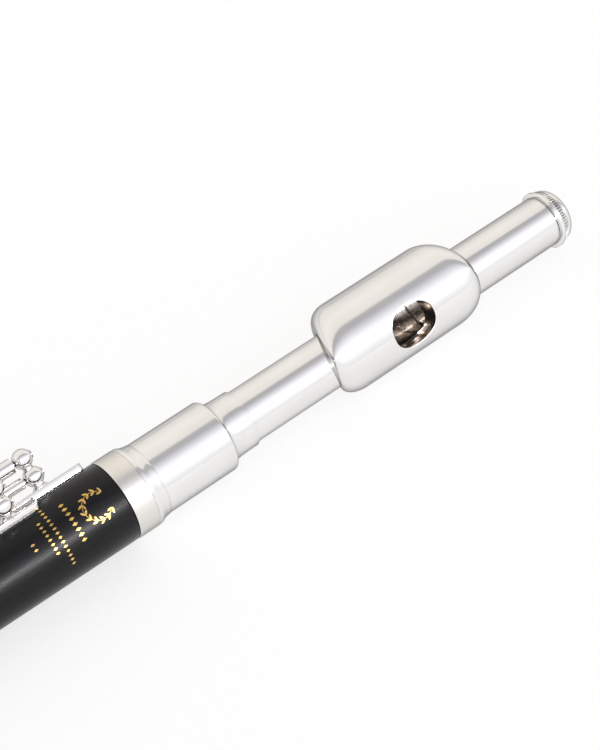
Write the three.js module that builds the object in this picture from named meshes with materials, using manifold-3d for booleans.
// Piccolo with a silver-plated headjoint, a black resin body and silver-plated keywork.
//
// Millimetres. The instrument is designed along its bore: x = 0 is under the lip plate,
// close to its middle, the crown is towards +X and the foot towards -X. Angles are counted around
// the bore from +Z, the line of the finger cups, towards +Y, the side of the key rods.
// At the end the whole instrument is turned a little and set down on the floor.

import Module from 'manifold-3d';
import {
  Box3, BufferAttribute, BufferGeometry, ExtrudeGeometry, Group, LatheGeometry, MathUtils,
  Matrix4, Mesh, MeshStandardMaterial, Shape, SphereGeometry, SplineCurve, Vector2, Vector3,
} from 'three';
import { mergeVertices } from 'three/addons/utils/BufferGeometryUtils.js';

const wasm = await Module();
wasm.setup();

// ---- Driving dimensions -------------------------------------------------------------------

const GAP = 0.3;             // room left between neighbouring pieces
const ROUND = 24;            // sides of the large turned pieces
const SMALL = 8;             // sides of rods, posts and screws

const CROWN = {
  seat: 45.4, tip: 50.7, flange: 6.85, knurl: 6.62, knurlStart: 46.3, knurlEnd: 47.7, dome: 6.2, thread: 48.6,
};
const HEAD_TUBE = { outer: 6.0, bore: 5.55, end: 45.1, start: -46.9 };
const LIP = { station: 0.8, radius: 10.0, offset: 0.93, length: 17.4, slant: 2.5, corner: 5.0, wall: 1.0 };
const EMBOUCHURE = { station: 0.8, angle: -22, halfLength: 5.5, halfWidth: 4.6, wall: 0.5 };
const STOPPER = { face: 8.0, plate: 0.9, radius: 5.2, corkEnd: 16.5, screw: 1.2 };
const NECK_RING = { start: -43.4, end: -40.3, outer: 6.5, inner: 6.2 };
const SOCKET = {
  neck: -43.7, neckRadius: 6.55, step: -46.75, stepRadius: 7.4, shoulder: -47.6, start: -64.0,
  outer: 8.15, inner: 7.85,
};
const MOUTH_RING = { start: -67.3, end: -64.3, outer: 8.95, inner: 7.85 };
const BODY_RING = { start: -72.2, end: -67.6, outer: 9.0, inner: 7.75 };
const BODY = { start: -72.5, end: -261.9, radius: 8.9, footRadius: 8.1, tenonEnd: -50.5, collar: 7.45 };
const BORE = { head: 5.5, foot: 4.15 };
const TENON_CORK = { start: -62.5, end: -52.5, outer: 7.7, inner: 7.2, groove: 6.95 };
const FOOT_RING = { start: -263.0, end: -259.0, outer: 8.3, inner: 7.65, flange: 4.6, thickness: 0.8 };

const TONE_HOLE_RIM = { wall: 0.9, height: 0.35 };
const CUP = { drop: 0.8, recess: 1.9, top: 2.6, wall: 0.35 };
const PAD = { clearance: 0.2, thickness: 1.35 };
const HINGE = { bore: 0.8, steel: 0.55 };
const BALL = { radius: 2.15, bore: 0.85, neck: 1.15 };
const SCREW = { head: 1.2, headHeight: 0.5, shank: 0.6, hole: 0.9, depth: 2.4 };

// Straps lie along the resin, with the posts standing on them.
const STRAPS = {
  main: { angle: 60, start: -257, end: -87, width: 3.3, thickness: 1.2 },
  back: { angle: 90, start: -246, end: -74.5, width: 3.8, thickness: 1.2 },
  thumb: { angle: 114, start: -157, end: -133, width: 3.0, thickness: 0.9 },
};

// Each rod is a steel that runs through posts on a strap at a distance from the bore's axis.
const RODS = {
  main: { strap: 'main', reach: 13.0, tube: 1.25, posts: [-93.5, -139.5, -188.6, -250.6] },
  upper: { strap: 'main', reach: 17.2, tube: 1.6, posts: [-93.5, -139.5] },
  outer_trill: { strap: 'back', reach: 17.1, tube: 1.65, posts: [-83.6, -241.6] },
  inner_trill: { strap: 'back', reach: 13.0, tube: 1.2, posts: [-83.6, -241.6] },
  thumb: { strap: 'thumb', reach: 11.8, tube: 1.25, posts: [-137.2, -151.8] },
};

// Keys: the tone hole's station, angle and radius, the cup's radius, the rod it turns on with
// its hinge tube's stations, and how many degrees it stands open. A key with a touch or a
// spatula is closed at rest.
const KEYS = {
  c_sharp: { hole: [-118, 0, 1.8], cup: 3.4, rod: 'upper', tube: [-137.0, -96.0], open: -8 },
  c: { hole: [-131, 0, 2.5], cup: 4.2, rod: 'main', tube: [-137.0, -96.0], open: -8 },
  thumb: { hole: [-144.5, 155, 2.5], cup: 4.2, rod: 'thumb', tube: [-149.3, -139.7], open: 12 },
  b: { hole: [-153.5, 0, 2.7], cup: 4.3, rod: 'main', tube: [-157.8, -142.0], open: -8 },
  b_flat: { hole: [-163.2, 0, 2.7], cup: 4.3, rod: 'main', tube: [-167.8, -158.2], open: -8 },
  a: { hole: [-173.2, 0, 2.8], cup: 4.3, rod: 'main', tube: [-177.8, -168.2], open: -8 },
  g_sharp: { hole: [-183.0, -38, 2.7], cup: 4.3, rod: 'main', tube: [-186.1, -178.2], touch: 6 },
  g: { hole: [-194.5, 0, 3.0], cup: 4.6, rod: 'main', tube: [-199.8, -191.1], open: -8 },
  f_sharp: { hole: [-206, 0, 3.0], cup: 4.6, rod: 'main', tube: [-211.4, -200.2], open: -8 },
  f: { hole: [-218, 0, 3.1], cup: 4.6, rod: 'main', tube: [-223.9, -211.8], open: -8 },
  e: { hole: [-230.5, 0, 3.1], cup: 4.6, rod: 'main', tube: [-236.7, -224.3], open: -8 },
  d_sharp: { hole: [-244, -34, 3.0], cup: 4.6, rod: 'main', tube: [-248.1, -237.1], touch: 7.5 },
  d_trill: { hole: [-115.5, 128, 1.9], cup: 3.3, rod: 'inner_trill', tube: [-239, -86.1], spatula: -224.25 },
  d_sharp_trill: {
    hole: [-107.5, 128, 1.9], cup: 3.3, rod: 'outer_trill', tube: [-239, -86.1], spatula: -237.3,
  },
};

// Arms, levers and touches are flat strips bent in one plane, through [y, z] points or elbows
// given as an angle around the bore and a distance from it.
const ARM = {
  width: 2.0, thickness: 1.1, shoulder: [7.6, 10.2], upperShoulder: [10.6, 10.9], crossing: [0.5, 12.3],
  thumbElbow: [134, 12.3], innerElbow: [112, 12.6], outerElbow: [14.6, -5.4],
};
const SPATULA = {
  width: 1.9, tip: [-2.5, 12.9],
  outer_trill: [[16.4, 4.6], [13.6, 9.4], [7.5, 12.3]],
  inner_trill: [[15.0, 4.2], [14.0, 8.2], [8.5, 12.0]],
};
const TOUCH = {
  leverWidth: 2.2, lever: [[13.8, 8.6], [16.5, 10.0]],
  thickness: 1.2, plate: [[15.2, 9.5], [18, 10.6], [20.6, 11.0]],
};

const STRAP_SCREWS = [
  ['main', -165], ['main', -254.6], ['back', -150], ['back', -244.9], ['thumb', -154.9],
];

// Lying on the floor, the instrument rests on the lip plate, the foot and the thumb cup.
const ROLL = 40;             // degrees, the rod side up
const PITCH = 0.25;          // degrees, the foot end down

const MATERIALS = {
  silver: { color: 0xe4dfd9, roughness: 0.16, metalness: 1 },
  satin_silver: { color: 0xd9d3cb, roughness: 0.34, metalness: 1 },
  steel: { color: 0xa5a7ab, roughness: 0.25, metalness: 1 },
  resin: { color: 0x0d0c0e, roughness: 0.38, metalness: 0 },
  cork: { color: 0xb98554, roughness: 0.9, metalness: 0 },
  pad: { color: 0xe9d9b4, roughness: 0.7, metalness: 0 },
};

// ---- Solids -------------------------------------------------------------------------------

/** Turns a closed BufferGeometry into a manifold solid. */
function toSolid(geometry) {
  const bare = new BufferGeometry();
  bare.setAttribute('position', geometry.getAttribute('position').clone());
  if (geometry.index) bare.setIndex(geometry.index.clone());
  const merged = mergeVertices(bare, 1e-4);
  const corners = merged.index.array;
  const triangles = [];
  for (let i = 0; i < corners.length; i += 3) {
    const [a, b, c] = corners.slice(i, i + 3);
    if (a !== b && b !== c && c !== a) triangles.push(a, b, c);
  }
  return new wasm.Manifold(new wasm.Mesh({
    numProp: 3,
    vertProperties: new Float32Array(merged.getAttribute('position').array),
    triVerts: new Uint32Array(triangles),
  }));
}

/** Turns a manifold solid back into a BufferGeometry. */
function toGeometry(solid) {
  const { vertProperties, triVerts } = solid.getMesh();
  const geometry = new BufferGeometry();
  geometry.setAttribute('position', new BufferAttribute(new Float32Array(vertProperties), 3));
  geometry.setIndex(new BufferAttribute(new Uint32Array(triVerts), 1));
  geometry.computeVertexNormals();
  return geometry;
}

const join = (...pieces) => toGeometry(pieces.map(toSolid).reduce((all, next) => all.add(next)));
const cut = (piece, ...tools) => toGeometry(
  tools.map(toSolid).reduce((rest, tool) => rest.subtract(tool), toSolid(piece)));
const common = (first, second) => toGeometry(toSolid(first).intersect(toSolid(second)));

/** A solid of revolution around X, from a closed outline of [x, radius] points. */
function turned(outline, sides = ROUND) {
  const area = outline.reduce((sum, [x, r], i) => {
    const [nextX, nextR] = outline[(i + 1) % outline.length];
    return sum + x * nextR - nextX * r;
  }, 0);
  const ring = area > 0 ? [...outline].reverse() : [...outline];
  ring.push(ring[0]);
  const points = ring.map(([x, r]) => new Vector2(r, x));
  return new LatheGeometry(points, sides).rotateZ(-Math.PI / 2);
}

/** A plain cylinder, or a tube if it has a bore, along X. */
function tube(start, end, outer, bore = 0, sides = ROUND) {
  return turned([[start, bore], [end, bore], [end, outer], [start, outer]], sides);
}

/** An outline of [y, z] points thickened along X around a station. */
function slab(outline, station, width) {
  const shape = new Shape(outline.map(([y, z]) => new Vector2(y, z)));
  const geometry = new ExtrudeGeometry(shape, { depth: width, bevelEnabled: false });
  geometry.applyMatrix4(new Matrix4().makeBasis(
    new Vector3(0, 1, 0), new Vector3(0, 0, 1), new Vector3(1, 0, 0)));
  return geometry.translate(station - width / 2, 0, 0);
}

/** The outline of a strip of even thickness along a smooth line through [y, z] points. */
function strip(through, thickness, steps = 5) {
  const curve = new SplineCurve(through.map(([y, z]) => new Vector2(y, z)));
  const side = (sign) => Array.from({ length: steps + 1 }, (_, i) => {
    const point = curve.getPoint(i / steps);
    const along = curve.getTangent(i / steps);
    const half = sign * thickness / 2;
    return [point.x - half * along.y, point.y + half * along.x];
  });
  return [...side(1), ...side(-1).reverse()];
}

/** The [y, z] place at a distance from the bore's axis in the direction of an angle. */
function around(angle, distance) {
  const turn = MathUtils.degToRad(angle);
  return [distance * Math.sin(turn), distance * Math.cos(turn)];
}

/** Turns a piece made along X so that it stands out from the bore at a station and an angle. */
function standing(geometry, station, angle) {
  return geometry.rotateY(-Math.PI / 2).rotateX(-MathUtils.degToRad(angle)).translate(station, 0, 0);
}

function ball(station, [y, z], radius) {
  return new SphereGeometry(radius, 10, 6).translate(station, y, z);
}

/** The resin's outer radius at a station. */
function bodyRadius(station) {
  return MathUtils.mapLinear(station, BODY.start, BODY.end, BODY.radius, BODY.footRadius);
}

// ---- Headjoint ----------------------------------------------------------------------------

function headTube() {
  return cut(tube(HEAD_TUBE.start, HEAD_TUBE.end, HEAD_TUBE.outer, HEAD_TUBE.bore),
    embouchureChimney(EMBOUCHURE.wall + GAP));
}

/** The oval of the embouchure hole grown by a margin, as a plug from the bore outwards. */
function embouchureChimney(margin) {
  const plug = tube(2, 14, 1, 0, 24);
  plug.scale(1, EMBOUCHURE.halfWidth + margin, EMBOUCHURE.halfLength + margin);
  return standing(plug, EMBOUCHURE.station, EMBOUCHURE.angle);
}

/** The lip plate's barrel, thinned by an inset: its ends are rounded and lean with the hole. */
function lipBarrel(inset) {
  const length = LIP.length - inset;
  const radius = LIP.radius - inset;
  const foot = HEAD_TUBE.outer + 0.7 - inset;
  const corner = Array.from({ length: 6 }, (_, i) => {
    const turn = i / 5 * Math.PI / 2;
    return [length - LIP.corner * (1 - Math.sin(turn)), foot + (radius - foot) * (1 - Math.cos(turn))];
  });
  const end = corner.map(([x, r]) => [x, radius + foot - r]);
  const outline = [[-length, 0], ...end.map(([x, r]) => [-x, r]).reverse(), ...end, [length, 0]];
  const geometry = turned(outline);
  const place = geometry.getAttribute('position');
  const faces = MathUtils.degToRad(EMBOUCHURE.angle);
  for (let i = 0; i < place.count; i += 1) {
    const turn = Math.atan2(place.getY(i), place.getZ(i));
    const lean = Math.hypot(place.getY(i), place.getZ(i)) < 0.01 ? 0 : Math.cos(turn - faces);
    place.setX(i, place.getX(i) * (1 + lean * LIP.slant / LIP.length));
    const out = Math.hypot(place.getY(i), place.getZ(i)) / LIP.radius;
    place.setY(i, place.getY(i) + LIP.offset * Math.min(1, out * out));
  }
  return geometry.translate(LIP.station, 0, 0);
}

function lipPlate() {
  const shell = cut(lipBarrel(0), lipBarrel(LIP.wall));
  const hollow = tube(-40, 40, HEAD_TUBE.outer + GAP);
  return cut(shell, hollow, embouchureChimney(EMBOUCHURE.wall + GAP));
}

function embouchureRiser() {
  const wall = cut(embouchureChimney(EMBOUCHURE.wall), embouchureChimney(0));
  const trimmed = common(wall, lipBarrel(0.1));
  return cut(trimmed, tube(-20, 20, HEAD_TUBE.bore));
}

function crown() {
  const dome = Array.from({ length: 5 }, (_, i) => {
    const turn = i / 5 * Math.PI / 2;
    const rise = CROWN.tip - CROWN.knurlEnd;
    return [CROWN.knurlEnd + rise * Math.sin(turn), CROWN.dome * Math.cos(turn)];
  });
  const thread = STOPPER.screw + GAP;
  return turned([
    [CROWN.thread, 0], [CROWN.thread, thread], [40, thread], [40, HEAD_TUBE.bore - GAP],
    [CROWN.seat, HEAD_TUBE.bore - GAP], [CROWN.seat, CROWN.flange - 0.3], [CROWN.seat + 0.3, CROWN.flange],
    [CROWN.knurlStart - 0.3, CROWN.flange], [CROWN.knurlStart, CROWN.knurl],
    [CROWN.knurlEnd, CROWN.knurl - 0.25], ...dome, [CROWN.tip, 0],
  ]);
}

function stopperScrew() {
  const back = STOPPER.face + STOPPER.plate;
  return turned([
    [STOPPER.face, 0], [STOPPER.face, STOPPER.radius], [back, STOPPER.radius],
    [back, STOPPER.screw], [47.5, STOPPER.screw], [47.5, 0],
  ], 16);
}

const stopperCork = () => tube(STOPPER.face + STOPPER.plate + GAP, STOPPER.corkEnd,
  STOPPER.radius, STOPPER.screw + GAP, 24);
const stopperWasher = () => tube(STOPPER.corkEnd + GAP, STOPPER.corkEnd + 1.1,
  STOPPER.radius - 0.2, STOPPER.screw + GAP, 24);
const stopperNut = () => tube(STOPPER.corkEnd + 1.4, STOPPER.corkEnd + 3.6, 3.0, STOPPER.screw + GAP, 6);

// ---- Socket that takes the body's tenon -----------------------------------------------------

const neckRing = () => turned([
  [NECK_RING.start, NECK_RING.inner], [NECK_RING.end, NECK_RING.inner],
  [NECK_RING.end, NECK_RING.outer - 0.15], [NECK_RING.end - 0.15, NECK_RING.outer],
  [NECK_RING.start + 0.15, NECK_RING.outer], [NECK_RING.start, NECK_RING.outer - 0.15],
]);

function socketSleeve() {
  // a hollow curve from the neck up to a steep step, then a rounded shoulder
  const quarter = [0, 1, 2, 3].map((i) => i / 4 * Math.PI / 2);
  const hollow = quarter.map((turn) => [
    SOCKET.neck + (SOCKET.step - SOCKET.neck) * Math.sin(turn),
    SOCKET.stepRadius - (SOCKET.stepRadius - SOCKET.neckRadius) * Math.cos(turn)]);
  const rounded = quarter.map((turn) => [
    SOCKET.shoulder + (SOCKET.step - SOCKET.shoulder) * Math.cos(turn),
    SOCKET.stepRadius + (SOCKET.outer - SOCKET.stepRadius) * Math.sin(turn)]);
  return turned([
    [SOCKET.neck, NECK_RING.inner], ...hollow, ...rounded, [SOCKET.shoulder, SOCKET.outer],
    [SOCKET.start, SOCKET.outer],
    [SOCKET.start, SOCKET.inner], [SOCKET.shoulder - 0.6, SOCKET.inner],
    [SOCKET.shoulder - 0.6, NECK_RING.inner],
  ]);
}

const socketMouthRing = () => turned([
  [MOUTH_RING.start, MOUTH_RING.inner], [MOUTH_RING.end, MOUTH_RING.inner],
  [MOUTH_RING.end, 8.25], [MOUTH_RING.end - 1.2, 8.45], [MOUTH_RING.end - 2.1, 8.8],
  [MOUTH_RING.start + 0.3, MOUTH_RING.outer],
  [MOUTH_RING.start, MOUTH_RING.outer - 0.1],
]);

// ---- Body -----------------------------------------------------------------------------------

function bodyTube() {
  const { start, end, radius, footRadius, tenonEnd, collar } = BODY;
  const footSeat = FOOT_RING.end + GAP;
  const blank = turned([
    [end, BORE.foot], [tenonEnd, BORE.head], [tenonEnd, collar],
    [TENON_CORK.end + GAP, collar], [TENON_CORK.end + GAP, TENON_CORK.groove],
    [TENON_CORK.start - GAP, TENON_CORK.groove], [TENON_CORK.start - GAP, collar],
    [start, collar], [start, radius], [footSeat, footRadius],
    [footSeat, FOOT_RING.inner - GAP], [end, FOOT_RING.inner - GAP],
  ]);
  const keys = Object.values(KEYS);
  const rims = keys.map(({ hole: [station, angle, holeRadius] }) => {
    const surface = bodyRadius(station);
    return standing(tube(surface - 1.5, surface + TONE_HOLE_RIM.height,
      holeRadius + TONE_HOLE_RIM.wall, 0, 12), station, angle);
  });
  const holes = keys.map(({ hole: [station, angle, holeRadius] }) => standing(
    tube(1, 12, holeRadius, 0, 12), station, angle));
  const screwHoles = STRAP_SCREWS.map(([strap, station]) => {
    const surface = bodyRadius(station);
    return standing(tube(surface - SCREW.depth - GAP, surface + 2, SCREW.hole, 0, SMALL),
      station, STRAPS[strap].angle);
  });
  return cut(join(blank, ...rims), ...holes, ...screwHoles);
}

const bodyRing = () => tube(BODY_RING.start, BODY_RING.end, BODY_RING.outer, BODY_RING.inner);
const tenonCork = () => tube(TENON_CORK.start, TENON_CORK.end, TENON_CORK.outer, TENON_CORK.inner);

const footRing = () => turned([
  [FOOT_RING.start, FOOT_RING.flange], [FOOT_RING.start + FOOT_RING.thickness, FOOT_RING.flange],
  [FOOT_RING.start + FOOT_RING.thickness, FOOT_RING.inner], [FOOT_RING.end, FOOT_RING.inner],
  [FOOT_RING.end, FOOT_RING.outer], [FOOT_RING.start, FOOT_RING.outer],
]);

// ---- Straps, posts, steels and screws ---------------------------------------------------------

/** A strap along the resin, with its posts and the holes for its screws. */
function strapWithPosts(name) {
  const { angle, start, end, width, thickness } = STRAPS[name];
  const inner = (station) => bodyRadius(station) + GAP;
  const shape = new Shape([
    new Vector2(start, inner(start)), new Vector2(end, inner(end)),
    new Vector2(end, inner(end) + thickness), new Vector2(start, inner(start) + thickness),
  ]);
  // The outline lies in the plane of the bore and the strap, and its depth goes around the body.
  const bar = new ExtrudeGeometry(shape, { depth: width, bevelEnabled: false });
  bar.applyMatrix4(new Matrix4().makeBasis(
    new Vector3(1, 0, 0), new Vector3(0, 0, 1), new Vector3(0, -1, 0)));
  bar.translate(0, width / 2, 0).rotateX(-MathUtils.degToRad(angle));
  const rods = Object.values(RODS).filter((rod) => rod.strap === name);
  const posts = rods.flatMap(({ reach, posts: stations }) => stations.flatMap((station) => [
    standing(tube(inner(station) + 0.2, reach - 1, BALL.neck, 0, SMALL), station, angle),
    ball(station, around(angle, reach), BALL.radius),
  ]));
  const bores = rods.flatMap(({ reach, posts: stations }) => stations.map((station) => {
    const [y, z] = around(angle, reach);
    return tube(station - 4, station + 4, BALL.bore, 0, SMALL).translate(0, y, z);
  }));
  const screwHoles = STRAP_SCREWS.filter(([strap]) => strap === name).map(([, station]) => standing(
    tube(inner(station) - 1, inner(station) + thickness + 0.4, SCREW.hole, 0, SMALL), station, angle));
  return cut(join(bar, ...posts), ...bores, ...screwHoles);
}

/** The steel through a rod's posts, flush with the balls at both ends. */
function steel({ strap, reach, posts }) {
  const [y, z] = around(STRAPS[strap].angle, reach);
  const head = posts[0] + BALL.radius;
  const tail = posts[posts.length - 1] - BALL.radius;
  return tube(tail, head, HINGE.steel, 0, SMALL).translate(0, y, z);
}

function strapScrew(strap, station) {
  const surface = bodyRadius(station);
  const underHead = surface + GAP + STRAPS[strap].thickness + GAP;
  return standing(turned([
    [surface - SCREW.depth, 0], [surface - SCREW.depth, SCREW.shank], [underHead, SCREW.shank],
    [underHead, SCREW.head], [underHead + SCREW.headHeight, SCREW.head], [underHead + SCREW.headHeight, 0],
  ], SMALL), station, STRAPS[strap].angle);
}

// ---- Keys -------------------------------------------------------------------------------------

const seatHeight = (station) => bodyRadius(station) + TONE_HOLE_RIM.height;

function keyCup({ hole: [station, angle], cup }) {
  const seat = seatHeight(station);
  return standing(turned([
    [seat + CUP.recess, 0], [seat + CUP.recess, cup - CUP.wall], [seat + CUP.drop, cup - CUP.wall],
    [seat + CUP.drop, cup], [seat + CUP.top - 0.35, cup], [seat + CUP.top, cup - 0.6],
    [seat + CUP.top + 0.15, 0],
  ], 14), station, angle);
}

function pad({ hole: [station, angle], cup }) {
  const from = seatHeight(station) + PAD.clearance;
  return standing(tube(from, from + PAD.thickness, cup - CUP.wall - GAP, 0, 14), station, angle);
}

/** The way of a key's arm, as [y, z] points from its rod to the middle of its cup. */
function armWay({ hole: [station, angle], rod }) {
  const from = around(STRAPS[RODS[rod].strap].angle, RODS[rod].reach);
  const cupTop = seatHeight(station) + CUP.top - 0.1;
  const to = around(angle, cupTop);
  if (rod === 'thumb') return [from, around(...ARM.thumbElbow), to];
  if (rod === 'outer_trill') return [from, ARM.outerElbow, to];
  if (rod === 'inner_trill') return [from, around(...ARM.innerElbow), to];
  if (angle < 0) {
    // The arm passes over the line of the finger cups and comes down on the cup beyond it.
    return [from, ARM.shoulder, ARM.crossing,
      around(angle + 12, cupTop + 0.5), around(angle - 5, cupTop + 0.3)];
  }
  const shoulder = rod === 'upper' ? ARM.upperShoulder : ARM.shoulder;
  return [from, shoulder, [to[0] + 3, to[1] + 0.2], [to[0] - 1, to[1]]];
}

/** A trill key's arm from its rod, outside the other rods, to a narrow spatula over the cups. */
function trillSpatula({ rod, spatula }) {
  const from = around(STRAPS.back.angle, RODS[rod].reach);
  return slab(strip([from, ...SPATULA[rod], SPATULA.tip], ARM.thickness, 9), spatula, SPATULA.width);
}

/** A little-finger touch on the far side of the rod from its cup. */
function fingerTouch({ touch, tube: [start, end] }) {
  const from = around(STRAPS.main.angle, RODS.main.reach);
  const middle = (start + end) / 2;
  const lever = slab(strip([from, ...TOUCH.lever], ARM.thickness, 6), middle, TOUCH.leverWidth);
  return [lever, slab(strip(TOUCH.plate, TOUCH.thickness, 6), middle, touch)];
}

function keyBody(key) {
  const { hole: [station], rod, tube: [start, end] } = key;
  const [y, z] = around(STRAPS[RODS[rod].strap].angle, RODS[rod].reach);
  const barrel = tube(start, end, RODS[rod].tube, 0, 10).translate(0, y, z);
  const bore = tube(start - 1, end + 1, HINGE.bore, 0, SMALL).translate(0, y, z);
  const parts = [barrel, slab(strip(armWay(key), ARM.thickness), station, ARM.width), keyCup(key)];
  if (key.touch) parts.push(...fingerTouch(key));
  if (key.spatula) parts.push(trillSpatula(key));
  return cut(join(...parts), bore);
}

// ---- Assembly -----------------------------------------------------------------------------------

const instrument = new Group();

function material(name) {
  return new MeshStandardMaterial({ ...MATERIALS[name] });
}

function add(name, geometry, finish, parent = instrument) {
  const mesh = new Mesh(geometry, material(finish));
  mesh.name = name;
  parent.add(mesh);
  return mesh;
}

add('head_tube', headTube(), 'silver');
add('lip_plate', lipPlate(), 'silver');
add('embouchure_riser', embouchureRiser(), 'silver');
add('crown', crown(), 'silver');
add('stopper_screw', stopperScrew(), 'steel');
add('stopper_cork', stopperCork(), 'cork');
add('stopper_washer', stopperWasher(), 'steel');
add('stopper_nut', stopperNut(), 'steel');
add('neck_ring', neckRing(), 'silver');
add('socket_sleeve', socketSleeve(), 'silver');
add('socket_mouth_ring', socketMouthRing(), 'silver');

add('body_tube', bodyTube(), 'resin');
add('body_ring', bodyRing(), 'satin_silver');
add('tenon_cork', tenonCork(), 'cork');
add('foot_ring', footRing(), 'silver');
for (const name of Object.keys(STRAPS)) add(`${name}_strap`, strapWithPosts(name), 'silver');
for (const [name, rod] of Object.entries(RODS)) add(`${name}_steel`, steel(rod), 'steel');
STRAP_SCREWS.forEach(([strap, station], i) => {
  add(`${strap}_strap_screw_${i + 1}`, strapScrew(strap, station), 'steel');
});

for (const [name, key] of Object.entries(KEYS)) {
  const [y, z] = around(STRAPS[RODS[key.rod].strap].angle, RODS[key.rod].reach);
  const hinge = new Group();
  hinge.position.set(0, y, z);
  hinge.rotation.x = MathUtils.degToRad(key.open ?? 0);
  instrument.add(hinge);
  add(`${name}_key`, keyBody(key), 'silver', hinge).position.set(0, -y, -z);
  add(`${name}_pad`, pad(key), 'pad', hinge).position.set(0, -y, -z);
}

// Set the instrument down: its lowest point touches the floor, and it is centred over the origin.
instrument.rotation.set(MathUtils.degToRad(ROLL), -MathUtils.degToRad(PITCH), 0, 'YXZ');
instrument.updateMatrixWorld(true);
const extent = new Box3().setFromObject(instrument, true);
const middle = extent.getCenter(new Vector3());
instrument.position.set(-middle.x, -middle.y, -extent.min.z);

const piccolo = new Group();
piccolo.add(instrument);
piccolo.updateMatrixWorld(true);

export default piccolo;
